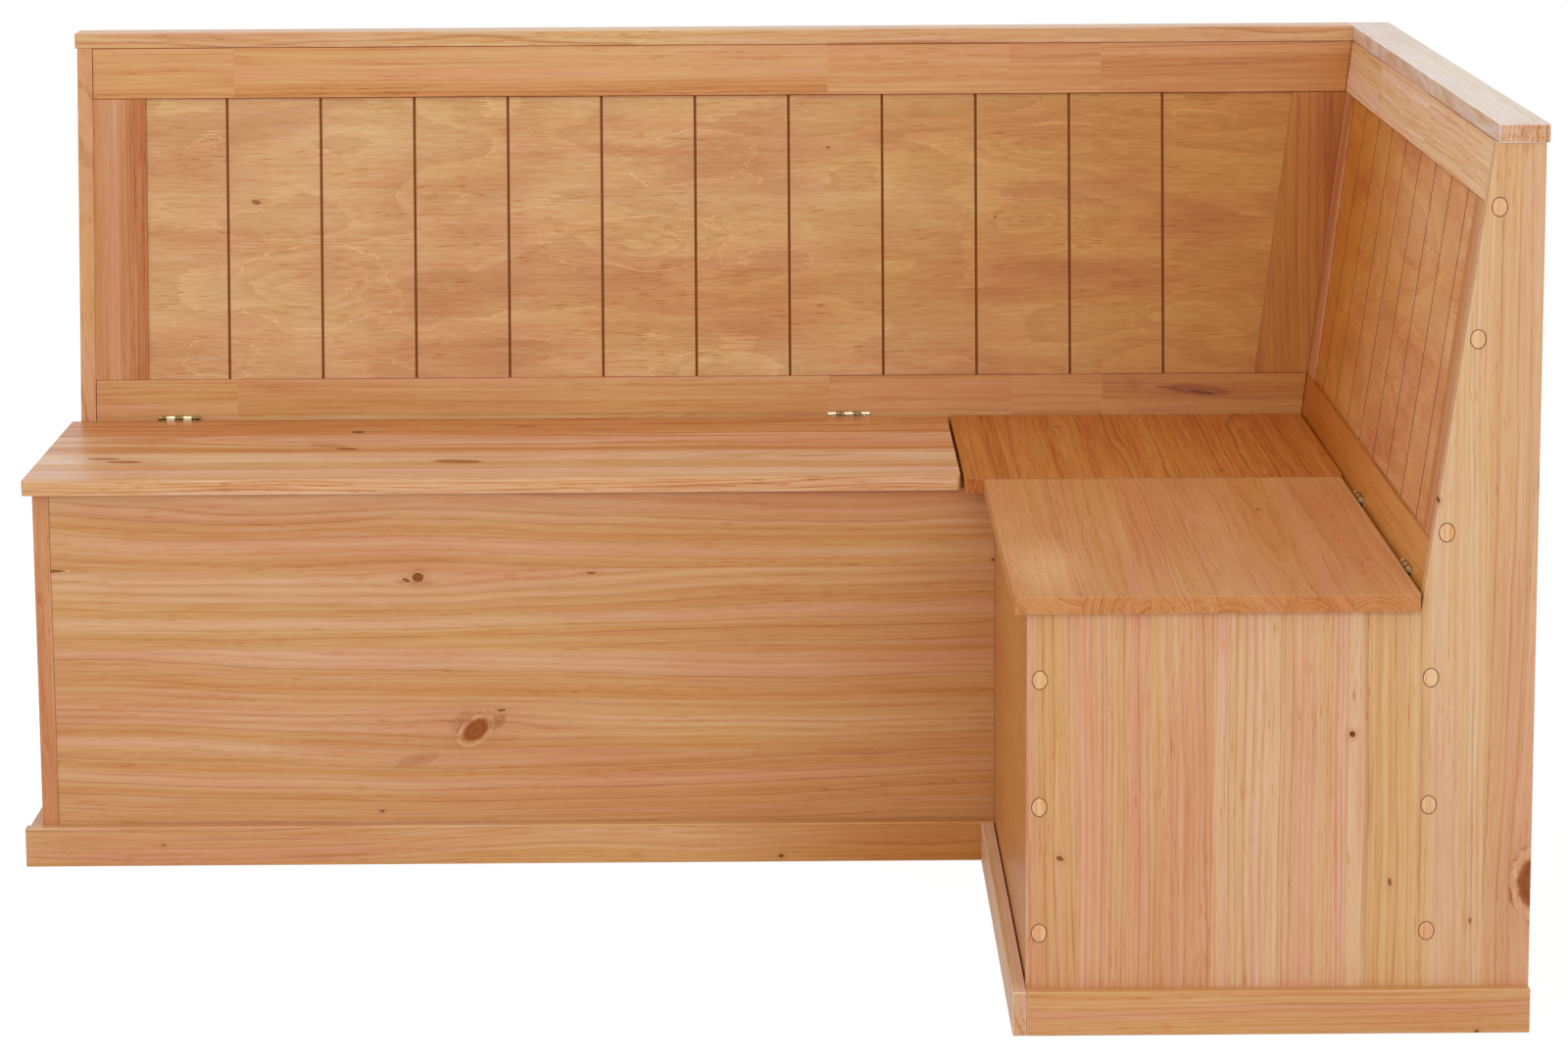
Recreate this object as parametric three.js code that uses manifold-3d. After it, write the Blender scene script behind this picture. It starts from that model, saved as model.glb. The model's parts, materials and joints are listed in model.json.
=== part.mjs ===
// A corner storage bench: two chests under hinged seat lids, joined by a fixed corner seat,
// with a leaning framed backrest, a flat cap along the top and a plinth round the foot.
// Lengths are millimetres and +Z is up. The origin is on the floor, under the middle of the
// bench's bounding box. The walls that the bench stands against are on its +Y and +X sides.
import * as THREE from 'three';
import { mergeVertices } from 'three/addons/utils/BufferGeometryUtils.js';
import Module from 'manifold-3d';

const wasm = await Module();
wasm.setup();

// Overall sizes, each taken from the corner where the two walls meet
const longLength = 1570;
const shortLength = 1162;
const totalHeight = 900;
const seatHeight = 442;
const endPanelDepth = 497;

// Boards
const boardThickness = 18;
const framingThickness = 22;
const lidThickness = 17;
const floorThickness = 8;
const grooveDepth = 6;
const frontRecess = 1.5;
const rearBoardLead = 1;
const floorHeight = 60;

// Cap
const capThickness = 18;
const capFront = 46;
const capOverhang = 3;

// Plinth
const plinthHeight = 45;
const plinthThickness = 14;
const plinthEndLap = 4;

// Leaning backrest: how far its face is from the wall at the seat and under the cap
const backAtSeat = 110;
const backAtCap = 48;
const frameRecess = 1.5;
const stileWidth = 63;
const topRailHeight = 60;
const bottomRailVisible = 48;
const tongueLength = 8;
const panelThickness = 9;
const panelRecess = 3;
const stripWidth = 111.8;
const minStripWidth = 45;
const stripGrooveWidth = 4;
const stripGrooveDepth = 2;
const longFirstStrip = 97;
const shortFirstStrip = 64;

// Seats
const lidFrontOverhang = 12.5;
const lidEndOverhang = 10;
const lidCornerRadius = 4;
const cornerSeatFront = 530.5;
const seatSeam = 4;
const battenWidth = 40;
const battenThickness = 18;
const battenRearGap = 36;
const battenFrontGap = 55;
const bearerWidth = 20;
const bearerHeight = 30;

// Hinges
const hingeWidth = 50;
const knuckleCount = 5;
const barrelRadius = 2.5;
const pinRadius = 1;
const leafThickness = 1.2;
const leafHeight = 12;

// Middles of the hinges and battens, as shares of the lid's length from its corner end
const longHingeShares = [0.112, 0.878];
const shortHingeShares = [0.209, 0.795];

// Plugs over the screws of the end panel, with their heights as shares of the height of the
// panel's lower part and of its upper part
const plugWidth = 14;
const plugHeight = 17.5;
const plugDepth = 5;
const plugProud = 0.6;
const lowPlugShares = [0.238, 0.539, 0.84];
const highPlugShares = [0.135, 0.567, 0.859];

// Clearances, and how far a cutting shape runs past what it cuts
const gap = 0.3;
const overrun = 5;
const arcSteps = 16;
const cornerSteps = 4;

// Places that follow from the sizes
const seatBase = seatHeight - lidThickness;
const capUnderside = totalHeight - capThickness;
const leanSlope = (backAtSeat - backAtCap) / (capUnderside - seatHeight);
const frameDepth = framingThickness * Math.hypot(1, leanSlope);
const frontFace = endPanelDepth - frontRecess;
const frontInside = frontFace - framingThickness;
const rearBoardFront = backAtSeat + rearBoardLead;
const partitionMiddle = cornerSeatFront + seatSeam / 2;
const partitionStart = partitionMiddle - boardThickness / 2;
const partitionEnd = partitionMiddle + boardThickness / 2;
const plinthFront = endPanelDepth + plinthThickness;
const bottomRailTop = seatHeight + bottomRailVisible;
const topRailBottom = capUnderside - topRailHeight;
const lidFront = endPanelDepth + lidFrontOverhang;
const lidStart = cornerSeatFront + seatSeam;
const hingeAxisOut = backOut(seatHeight) - frameRecess + barrelRadius;
const hingeAxisUp = seatHeight + barrelRadius + gap;
const lidBack = hingeAxisOut + barrelRadius + gap;
const mitreGap = gap * Math.SQRT1_2;

// Finishes
const pine = { color: '#c8915f', roughness: 0.45, metalness: 0 };
const palePine = { color: '#dcb084', roughness: 0.45, metalness: 0 };
const redPine = { color: '#b4713f', roughness: 0.45, metalness: 0 };
const plywood = { color: '#cfa070', roughness: 0.45, metalness: 0 };
const plugWood = { color: '#dfc093', roughness: 0.4, metalness: 0 };
const hingeMetal = { color: '#c9c3a8', roughness: 0.3, metalness: 1 };

// Each leg has its own axes: along it from the wall corner, out from its wall, and up.
// In its group those are the group's X, times the leg's side, then Y and Z.
const long = {
  name: 'long', length: longLength, side: 1, turn: Math.PI,
  firstStrip: longFirstStrip, hingeShares: longHingeShares, group: new THREE.Group(),
};
const short = {
  name: 'short', length: shortLength, side: -1, turn: Math.PI / 2,
  firstStrip: shortFirstStrip, hingeShares: shortHingeShares, group: new THREE.Group(),
};

// Distance from the wall of the sloping edge of the end panels at a height
function backOut(up) {
  return backAtSeat - leanSlope * (up - seatHeight);
}

// Distance from the wall of the backrest's face at a height
function faceOut(up) {
  return backOut(up) - frameRecess;
}

// Middles of the hinges and battens along a leg
function hingeMiddles(leg) {
  const end = leg.length + lidEndOverhang;
  return leg.hingeShares.map((share) => lidStart + share * (end - lidStart));
}

// A closed outline, as a list of points, swept through a depth of 1
function sweep(outline) {
  const shape = new THREE.Shape(outline.map(([x, y]) => new THREE.Vector2(x, y)));
  return new THREE.ExtrudeGeometry(shape, { depth: 1, bevelEnabled: false });
}

// An outline of out and up places, swept along the leg
function sweepAlong(leg, outline, start, end) {
  const low = Math.min(leg.side * start, leg.side * end);
  const matrix = new THREE.Matrix4().makeBasis(
    new THREE.Vector3(0, 1, 0),
    new THREE.Vector3(0, 0, 1),
    new THREE.Vector3(end - start, 0, 0),
  );
  matrix.setPosition(low, 0, 0);
  return sweep(outline).applyMatrix4(matrix);
}

// An outline of along and up places, swept out from the wall
function sweepOut(leg, outline, back, front) {
  const matrix = new THREE.Matrix4().makeBasis(
    new THREE.Vector3(1, 0, 0),
    new THREE.Vector3(0, 0, 1),
    new THREE.Vector3(0, back - front, 0),
  );
  matrix.setPosition(0, front, 0);
  return sweep(outline.map(([along, up]) => [leg.side * along, up])).applyMatrix4(matrix);
}

// An outline of along and out places, swept up
function sweepUp(leg, outline, bottom, top) {
  const matrix = new THREE.Matrix4().makeScale(1, 1, top - bottom);
  matrix.setPosition(0, 0, bottom);
  return sweep(outline.map(([along, out]) => [leg.side * along, out])).applyMatrix4(matrix);
}

// A plain board between two places each way
function board(leg, [start, end], [back, front], [bottom, top]) {
  return sweepUp(leg, rectangle(start, end, back, front), bottom, top);
}

function rectangle(left, right, low, high) {
  return [[left, low], [right, low], [right, high], [left, high]];
}

function roundedRectangle(left, right, low, high, radius) {
  const centres = [
    [right - radius, high - radius],
    [left + radius, high - radius],
    [left + radius, low + radius],
    [right - radius, low + radius],
  ];
  const points = [];
  centres.forEach(([x, y], corner) => {
    for (let step = 0; step <= cornerSteps; step += 1) {
      const angle = (corner + step / cornerSteps) * Math.PI / 2;
      points.push([x + radius * Math.cos(angle), y + radius * Math.sin(angle)]);
    }
  });
  return points;
}

function ellipse(x, y, width, height) {
  const points = [];
  for (let step = 0; step < arcSteps; step += 1) {
    const angle = step / arcSteps * 2 * Math.PI;
    points.push([x + width / 2 * Math.cos(angle), y + height / 2 * Math.sin(angle)]);
  }
  return points;
}

// Leans a piece built upright at its foot back towards the wall, along the leg too for a
// piece that follows the mitre in the corner
function leanBack(leg, geometry, alongToo = false) {
  const shear = new THREE.Matrix4().makeShear(0, 0, 0, 0, alongToo ? -leanSlope * leg.side : 0, -leanSlope);
  geometry.translate(0, 0, -seatBase);
  geometry.applyMatrix4(shear);
  return geometry.translate(0, 0, seatBase);
}

// A closed geometry as a solid that can be joined and cut
function solid(geometry) {
  const bare = geometry.clone();
  bare.deleteAttribute('normal');
  bare.deleteAttribute('uv');
  const merged = mergeVertices(bare);
  const vertProperties = new Float32Array(merged.attributes.position.array);
  const triVerts = new Uint32Array(merged.index.array);
  return new wasm.Manifold(new wasm.Mesh({ numProp: 3, vertProperties, triVerts }));
}

function geometryOf(body) {
  const { vertProperties, triVerts } = body.getMesh();
  const geometry = new THREE.BufferGeometry();
  geometry.setAttribute('position', new THREE.BufferAttribute(vertProperties, 3));
  geometry.setIndex(new THREE.BufferAttribute(triVerts, 1));
  geometry.computeVertexNormals();
  return geometry;
}

function addPiece(leg, name, geometry, finish) {
  const mesh = new THREE.Mesh(geometry, new THREE.MeshStandardMaterial(finish));
  mesh.name = name;
  leg.group.add(mesh);
}

// End panel: full depth up to the lids, then a narrow upper part with a sloping front edge
function addEndPanel(leg, name, plugs) {
  const outline = [
    [0, 0],
    [endPanelDepth, 0],
    [endPanelDepth, seatBase],
    [backOut(seatBase), seatBase],
    [backOut(capUnderside), capUnderside],
    [0, capUnderside],
  ];
  const panel = sweepAlong(leg, outline, leg.length - boardThickness, leg.length);
  if (plugs.length === 0) {
    addPiece(leg, name, panel, palePine);
    return;
  }
  let bored = solid(panel);
  for (const [out, up] of plugs) {
    const bore = ellipse(out, up, plugWidth + 2 * gap, plugHeight + 2 * gap);
    bored = bored.subtract(solid(sweepAlong(leg, bore, leg.length - plugDepth, leg.length + overrun)));
  }
  addPiece(leg, name, geometryOf(bored), palePine);
}

// Oval wooden plugs over the screws into the front panel, the rear board and the backrest
function plugPlaces() {
  const lowHeights = lowPlugShares.map((share) => share * seatBase);
  const highHeights = highPlugShares.map((share) => seatHeight + share * (capUnderside - seatHeight));
  const frontScrews = lowHeights.map((up) => [frontFace - framingThickness / 2, up]);
  const rearScrews = lowHeights.map((up) => [rearBoardFront - boardThickness / 2, up]);
  const backScrews = highHeights.map((up) => [faceOut(up) - frameDepth / 2, up]);
  return [...frontScrews, ...rearScrews, ...backScrews];
}

function addPlugs(leg, places) {
  places.forEach(([out, up], index) => {
    const plug = ellipse(out, up, plugWidth, plugHeight);
    const inner = leg.length - plugDepth + gap;
    addPiece(leg, `plug_${index + 1}`, sweepAlong(leg, plug, inner, leg.length + plugProud), plugWood);
  });
}

// Front panel and rear board, each with a groove for the chest floor on its inner face
function addLongBoards(leg, frontStart, rearStart) {
  const end = leg.length - boardThickness;
  const low = floorHeight - gap;
  const high = floorHeight + floorThickness + gap;
  const frontOutline = [
    [frontFace, 0],
    [frontFace, seatBase],
    [frontInside, seatBase],
    [frontInside, high],
    [frontInside + grooveDepth, high],
    [frontInside + grooveDepth, low],
    [frontInside, low],
    [frontInside, 0],
  ];
  const rearOutline = [
    [rearBoardFront - boardThickness, 0],
    [rearBoardFront, 0],
    [rearBoardFront, low],
    [rearBoardFront - grooveDepth, low],
    [rearBoardFront - grooveDepth, high],
    [rearBoardFront, high],
    [rearBoardFront, seatBase],
    [rearBoardFront - boardThickness, seatBase],
  ];
  addPiece(leg, `${leg.name}_front_panel`, sweepAlong(leg, frontOutline, frontStart, end), pine);
  addPiece(leg, `${leg.name}_rear_board`, sweepAlong(leg, rearOutline, rearStart, end), pine);
}

// Chest inside: the partition towards the corner, the floor and the bearer under the lid's rear
function addChestInside(leg, bearerStart) {
  const end = leg.length - boardThickness;
  const bearerFront = rearBoardFront + bearerWidth;
  const bearerBottom = seatBase - bearerHeight;
  const partition = [
    [rearBoardFront, 0],
    [frontInside, 0],
    [frontInside, seatBase],
    [bearerFront, seatBase],
    [bearerFront, bearerBottom],
    [rearBoardFront, bearerBottom],
  ];
  const floorBack = rearBoardFront - grooveDepth + gap;
  const floorFront = frontInside + grooveDepth - gap;
  addPiece(leg, `${leg.name}_partition`, sweepAlong(leg, partition, partitionStart, partitionEnd), pine);
  addPiece(leg, `${leg.name}_chest_floor`, board(
    leg,
    [partitionEnd + gap, end - gap],
    [floorBack, floorFront],
    [floorHeight, floorHeight + floorThickness],
  ), plywood);
  addPiece(leg, `${leg.name}_bearer`, board(
    leg,
    [bearerStart, end],
    [rearBoardFront, bearerFront],
    [bearerBottom, seatBase],
  ), pine);
}

// A flat part of the leaning frame, from an outer end to the slanted line that follows the
// mitre at a distance, drawn upright at the frame's foot
function frameOutline(outer, innerWidth, bottom, top) {
  return [
    [outer, bottom],
    [outer, top],
    [faceOut(top) + innerWidth, top],
    [faceOut(bottom) + innerWidth, bottom],
  ];
}

// Framed backrest: two rails from the end panel to the mitre in the corner, and between them
// two stiles round a grooved panel. The stiles' tongues and the panel sit in the same grooves
function addBackrest(leg) {
  const outerEnd = leg.length - boardThickness;
  const stileEdge = outerEnd - stileWidth;
  const face = faceOut(seatBase);
  const back = face - frameDepth;
  const panelFace = face - panelRecess;
  const panelBack = panelFace - panelThickness;
  const grooveFront = panelFace + gap;
  const grooveBack = panelBack - gap;
  const reach = tongueLength + gap;
  const tongueBottom = bottomRailTop - tongueLength;
  const tongueTop = topRailBottom + tongueLength;
  const leaning = (outline, from, to) => solid(leanBack(leg, sweepOut(leg, outline, from, to)));

  // Between an outer end and the mitre, which follows the lean along the leg too
  const mitred = (outer, [from, to], [bottom, top]) => solid(leanBack(leg, sweepUp(leg, [
    [to + mitreGap, to],
    [outer, to],
    [outer, from],
    [from + mitreGap, from],
  ], bottom, top), true));

  // Grooves: one down the inner edge of each stile, and one along each rail
  const stileGroove = leaning(frameOutline(
    stileEdge + reach, stileWidth - reach, seatBase, capUnderside,
  ), grooveBack, grooveFront);
  const railGroove = leaning(frameOutline(
    outerEnd + overrun, -frameDepth - overrun, bottomRailTop - reach, topRailBottom + reach,
  ), grooveBack, grooveFront);

  const rails = [
    ['bottom_rail', seatBase, bottomRailTop],
    ['top_rail', topRailBottom, capUnderside],
  ];
  for (const [name, bottom, top] of rails) {
    const past = outerEnd + leanSlope * totalHeight;
    const bar = mitred(past, [back, face], [bottom, top]);
    const room = solid(board(leg, [0, outerEnd], [0, endPanelDepth], [bottom, top]));
    addPiece(leg, `${leg.name}_${name}`, geometryOf(bar.intersect(room).subtract(railGroove)), pine);
  }

  const outerStile = leaning(rectangle(stileEdge, outerEnd, bottomRailTop, topRailBottom), back, face);
  const outerTongue = leaning(rectangle(stileEdge, outerEnd, tongueBottom, tongueTop), panelBack, panelFace);
  const cornerStile = mitred(face + stileWidth, [back, face], [bottomRailTop, topRailBottom]);
  const cornerTongue = mitred(face + stileWidth, [panelBack, panelFace], [tongueBottom, tongueTop]);
  const stiles = [
    ['outer_stile', outerStile.add(outerTongue)],
    ['corner_stile', cornerStile.add(cornerTongue)],
  ];
  for (const [name, body] of stiles) {
    addPiece(leg, `${leg.name}_${name}`, geometryOf(body.subtract(stileGroove)), redPine);
  }
  addBackPanel(leg, stileEdge, panelBack, panelFace);
}

// Plywood panel with upright V grooves that divide it into strips
function addBackPanel(leg, stileEdge, back, face) {
  const outer = stileEdge + tongueLength;
  const inner = faceOut(capUnderside);
  const lastGroove = faceOut(bottomRailTop) + stileWidth + minStripWidth;
  const section = [[outer, back], [outer, face]];
  for (let along = stileEdge - leg.firstStrip; along > lastGroove; along -= stripWidth) {
    section.push([along + stripGrooveWidth / 2, face]);
    section.push([along, face - stripGrooveDepth]);
    section.push([along - stripGrooveWidth / 2, face]);
  }
  section.push([inner, face], [inner, back]);
  const bottom = bottomRailTop - tongueLength;
  const top = topRailBottom + tongueLength;
  const sheet = solid(leanBack(leg, sweepUp(leg, section, bottom, top)));
  const innerWidth = stileWidth - tongueLength;
  const trimOutline = frameOutline(outer + overrun, innerWidth, bottom - overrun, top + overrun);
  const trim = solid(leanBack(leg, sweepOut(leg, trimOutline, back - overrun, face + overrun)));
  addPiece(leg, `${leg.name}_back_panel`, geometryOf(sheet.intersect(trim)), plywood);
}

// Hinged lid with a batten under it at each hinge
function addLid(leg) {
  const end = leg.length + lidEndOverhang;
  const outline = roundedRectangle(lidStart, end, lidBack, lidFront, lidCornerRadius);
  addPiece(leg, `${leg.name}_lid`, sweepUp(leg, outline, seatBase, seatHeight), pine);
  hingeMiddles(leg).forEach((middle, index) => {
    addPiece(leg, `${leg.name}_lid_batten_${index + 1}`, board(
      leg,
      [middle - battenWidth / 2, middle + battenWidth / 2],
      [lidBack + battenRearGap, lidFront - battenFrontGap],
      [seatBase - battenThickness, seatBase],
    ), pine);
  });
}

function cylinderAlong(leg, radius, start, end) {
  return sweepAlong(leg, ellipse(hingeAxisOut, hingeAxisUp, 2 * radius, 2 * radius), start, end);
}

// A leaf is a plate with a tab and a knuckle at each of its own places along the barrel
function hingeLeaf(leg, start, plate, tab, own) {
  const knuckleLength = hingeWidth / knuckleCount;
  let leaf = solid(sweepAlong(leg, plate, start, start + hingeWidth));
  for (const place of own) {
    const from = start + place * knuckleLength + gap / 2;
    const to = from + knuckleLength - gap;
    leaf = leaf.add(solid(sweepAlong(leg, tab, from, to)));
    leaf = leaf.add(solid(cylinderAlong(leg, barrelRadius, from, to)));
  }
  const bore = cylinderAlong(leg, pinRadius + gap, start - overrun, start + hingeWidth + overrun);
  return geometryOf(leaf.subtract(solid(bore)));
}

// Butt hinges with one leaf on the backrest, the other on the lid's rear edge
function addHinges(leg) {
  const leafTop = hingeAxisUp - barrelRadius - gap;
  const leafBottom = leafTop - leafHeight;
  const tabBottom = leafTop - leafThickness;
  const fixedTop = faceOut(leafTop) + gap;
  const fixedBottom = faceOut(leafBottom) + gap;
  const lidLeafFront = lidBack - gap;
  const fixedPlate = [
    [fixedBottom, leafBottom],
    [fixedBottom + leafThickness, leafBottom],
    [fixedTop + leafThickness, leafTop],
    [fixedTop, leafTop],
  ];
  const fixedTab = rectangle(fixedTop, fixedTop + leafThickness, tabBottom, hingeAxisUp);
  const lidPlate = rectangle(lidLeafFront - leafThickness, lidLeafFront, leafBottom, leafTop);
  const lidTab = rectangle(lidLeafFront - leafThickness, lidLeafFront, tabBottom, hingeAxisUp);
  const places = [...Array(knuckleCount).keys()];
  const fixedPlaces = places.filter((place) => place % 2 === 0);
  const lidPlaces = places.filter((place) => place % 2 === 1);
  hingeMiddles(leg).forEach((middle, index) => {
    const start = middle - hingeWidth / 2;
    const name = `${leg.name}_hinge_${index + 1}`;
    const fixedLeaf = hingeLeaf(leg, start, fixedPlate, fixedTab, fixedPlaces);
    const lidLeaf = hingeLeaf(leg, start, lidPlate, lidTab, lidPlaces);
    addPiece(leg, `${name}_fixed_leaf`, fixedLeaf, hingeMetal);
    addPiece(leg, `${name}_lid_leaf`, lidLeaf, hingeMetal);
    addPiece(leg, `${name}_pin`, cylinderAlong(leg, pinRadius, start, start + hingeWidth), hingeMetal);
  });
}

function addCap(leg, start) {
  addPiece(leg, `${leg.name}_cap`, board(
    leg,
    [start, leg.length + capOverhang],
    [-capOverhang, capFront],
    [capUnderside, totalHeight],
  ), pine);
}

// Plinth boards: one in front of the leg and one across its end panel
function addPlinths(leg, frontStart, frontEnd) {
  addPiece(leg, `${leg.name}_front_plinth`, board(
    leg, [frontStart, frontEnd], [endPanelDepth, plinthFront], [0, plinthHeight],
  ), pine);
  addPiece(leg, `${leg.name}_end_plinth`, board(
    leg, [leg.length, leg.length + plinthThickness], [0, endPanelDepth], [0, plinthHeight],
  ), pine);
}

// Fixed seat over the corner, which stands out past both lids
function addCornerSeat(leg) {
  const back = rearBoardFront + gap;
  const outline = roundedRectangle(back, cornerSeatFront, back, cornerSeatFront, lidCornerRadius);
  addPiece(leg, 'corner_seat', sweepUp(leg, outline, seatBase, seatHeight), redPine);
}

addEndPanel(long, 'left_end_panel', []);
addEndPanel(short, 'right_end_panel', plugPlaces());
addPlugs(short, plugPlaces());
addLongBoards(long, frontFace, rearBoardFront - boardThickness);
addLongBoards(short, frontInside, rearBoardFront);
addChestInside(long, rearBoardFront);
addChestInside(short, rearBoardFront + bearerWidth);
addCap(long, capFront);
addCap(short, -capOverhang);
addPlinths(long, frontFace, longLength + plinthThickness + plinthEndLap);
addPlinths(short, plinthFront, shortLength + plinthThickness);
addCornerSeat(long);
for (const leg of [long, short]) {
  addBackrest(leg);
  addLid(leg);
  addHinges(leg);
  leg.group.rotation.z = leg.turn;
}

// The wall corner's place, which puts the origin under the middle of the bounding box
const group = new THREE.Group();
group.position.set(
  (longLength + plinthThickness + plinthEndLap - capOverhang) / 2,
  (shortLength + plinthThickness - capOverhang) / 2,
  0,
);
group.add(long.group, short.group);

export default group;
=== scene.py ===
"""The finish of a corner storage bench in lacquered pine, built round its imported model.

Every board is a copy of its solid with eased edges, cut from its own virtual log, so that
faces, edges and end grain agree. Lengths are metres, with X along the long leg, Y from the
short leg's free end towards the wall behind the long leg, and Z up.
"""

import json
import math

import bmesh
import bpy
from mathutils import Euler, Matrix, Vector


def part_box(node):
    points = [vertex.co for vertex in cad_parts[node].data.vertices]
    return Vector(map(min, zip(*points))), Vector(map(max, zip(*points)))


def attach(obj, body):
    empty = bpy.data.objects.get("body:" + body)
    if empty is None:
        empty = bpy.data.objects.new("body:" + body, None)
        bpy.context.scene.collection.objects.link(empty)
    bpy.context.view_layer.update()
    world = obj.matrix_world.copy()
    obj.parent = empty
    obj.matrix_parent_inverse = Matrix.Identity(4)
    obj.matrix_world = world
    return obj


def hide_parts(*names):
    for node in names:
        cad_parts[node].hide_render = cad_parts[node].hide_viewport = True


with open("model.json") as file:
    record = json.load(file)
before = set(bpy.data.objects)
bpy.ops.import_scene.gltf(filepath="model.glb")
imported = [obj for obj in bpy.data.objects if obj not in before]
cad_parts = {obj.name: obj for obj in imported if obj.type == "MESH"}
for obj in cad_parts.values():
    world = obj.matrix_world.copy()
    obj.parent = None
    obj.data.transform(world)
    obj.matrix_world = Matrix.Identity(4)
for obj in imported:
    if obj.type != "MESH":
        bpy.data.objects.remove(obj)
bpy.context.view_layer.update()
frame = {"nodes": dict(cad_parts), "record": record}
MM = 0.001

# Where the bench's faces are, and the middles that patterns are measured from
WALL_CORNER = Vector((0.7925, 0.5865, 0.0))
LEFT_END_FACE = -0.7775
RIGHT_END_FACE = -0.5755
LONG_FRONT_FACE = 0.091
LONG_PLINTH_FACE = 0.0755
SHORT_FRONT_FACE = 0.297
SHORT_PLINTH_FACE = 0.2815
SEAT_TOP = 0.442
CAP_TOP = 0.900
FLOOR_TOP = 0.068
PLINTH_MIDDLE = 0.022
CHEST_MIDDLE = 0.2
BATTEN_MIDDLE = 0.42
BACK_MIDDLE = 0.65
LEAN = math.atan2(62, 440)

# Edges: how far each kind of edge is eased
BOARD_EASE = 0.8 * MM
LID_EASE = 1.2 * MM
FRAME_EASE = 0.8 * MM
PLINTH_EASE = 1.4 * MM
SHEET_EASE = 0.4 * MM
LEAF_EASE = 0.15 * MM
BORE_EASE = 0.4 * MM
SHORT_EDGE = 5.5 * MM
SMOOTH_ANGLE = math.radians(35)
DOUBLES = 0.01 * MM
SQUARE_ON = 0.9

# Plugs and screws
PLUG_WIDTH = 14.0 * MM
PLUG_HEIGHT = 17.5 * MM
PLUG_JOINT = 1.1 * MM
PLUG_DEPTH = 5 * MM
JOINT_RISE = 0.04 * MM
PLUG_RISE = 0.22 * MM
PLUG_DOME = ((0.22, 0.16), (0.5, 0.12), (1.6, 0.05))
HINGE_WIDTH = 50.0 * MM
HINGE_SCREW = 1.9 * MM
HINGE_SCREW_UP = 0.436
HINGE_SCREW_SHARES = (-0.33, 0.0, 0.33)
FIXED_LEAF_OUT = 110.7 * MM
LID_LEAF_OUT = 112.5 * MM
BATTEN_SCREW = 3.6 * MM
BATTEN_SCREW_SHARES = (0.12, 0.5, 0.88)
SCREW_DEPTH = 1.6 * MM
SCREW_RISE = 0.4 * MM
RECESS_DEPTH = 0.55 * MM

# The studio
LENS = 106.59
LENS_SHIFT = -0.06
CAMERA_PLACE = (0.042, -5.004, 1.372)
CAMERA_TURN = (0.224, -9.892, -0.338)
FLOOR_SIZE = 30
FLOOR_GAP = -0.5 * MM
WHITE = (1.0, 1.0, 1.0, 1.0)


def srgb(red, green, blue):
    """A colour given as screen values from 0 to 255, as the shaders take it."""
    def linear(value):
        value /= 255
        return value / 12.92 if value <= 0.04045 else ((value + 0.055) / 1.055) ** 2.4
    return (linear(red), linear(green), linear(blue), 1.0)


# ---------------------------------------------------------------- shader building

class Shader:
    """The shader tree that nodes are being added to."""
    tree = None


class Value:
    """A node's output, which the usual signs calculate with. A product is made when it is
    used, so that it becomes one node with what is added to it."""

    def __init__(self, made=None, factors=()):
        self.made = made
        self.factors = factors

    def socket(self):
        if self.made is None:
            self.made = calc("MULTIPLY", *self.factors).made
        return self.made

    def __mul__(self, other):
        return Value(factors=(self, other))

    def __add__(self, other):
        if self.made is None:
            return calc("MULTIPLY_ADD", *self.factors, other)
        return calc("ADD", self, other)

    def __sub__(self, other):
        return calc("SUBTRACT", self, other)

    def __truediv__(self, other):
        return calc("DIVIDE", self, other)


def feed(value, socket):
    """Sets an input to a number or a colour, or links the value that feeds it."""
    if isinstance(value, Value):
        Shader.tree.links.new(value.socket(), socket)
    else:
        socket.default_value = value


def put(kind, inputs=None, **settings):
    node = Shader.tree.nodes.new(f"ShaderNode{kind}")
    for name, value in settings.items():
        setattr(node, name, value)
    for key, value in (inputs or {}).items():
        feed(value, node.inputs[key])
    return node


def value_of(kind, inputs=None, output=0, **settings):
    """Adds a node and gives one of its outputs."""
    return Value(put(kind, inputs, **settings).outputs[output])


def calc(operation, *values):
    """Calculates with numbers, or with vectors where one of the values is one."""
    wide = any(
        value.socket().type != "VALUE" if isinstance(value, Value) else isinstance(value, tuple)
        for value in values
    )
    output = "Value" if operation == "LENGTH" else 0
    kind = "VectorMath" if wide else "Math"
    return value_of(kind, dict(enumerate(values)), output, operation=operation)


def added(start, *parts):
    """A value with others added to it, each with its share."""
    for part, share in parts:
        start = part * share + start
    return start


def ramp(value, low, high, to_low=0.0, to_high=1.0):
    """A smooth step between two values."""
    return value_of("MapRange", {
        "Value": value, "From Min": low, "From Max": high, "To Min": to_low, "To Max": to_high,
    }, interpolation_type="SMOOTHSTEP")


def split(vector):
    return [Value(output) for output in put("SeparateXYZ", {0: vector}).outputs]


def join(*parts):
    return value_of("CombineXYZ", dict(enumerate(parts)))


def noise(vector, scale=1.0, detail=2.0, roughness=0.5, distortion=0.0, output="Fac"):
    return value_of("TexNoise", {
        "Vector": vector, "Scale": scale, "Detail": detail,
        "Roughness": roughness, "Distortion": distortion,
    }, output)


def noise_along(value, scale, detail=1.0):
    return value_of(
        "TexNoise", {"W": value, "Scale": scale, "Detail": detail}, noise_dimensions="1D",
    )


def drawn_out(place, along_scale, across_scale, **settings):
    """Noise drawn out along the grain, over a place given along, across and into the board."""
    along, across, depth = place
    stretched = join(along * along_scale, across * across_scale, depth * across_scale)
    return noise(stretched, **settings)


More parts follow.
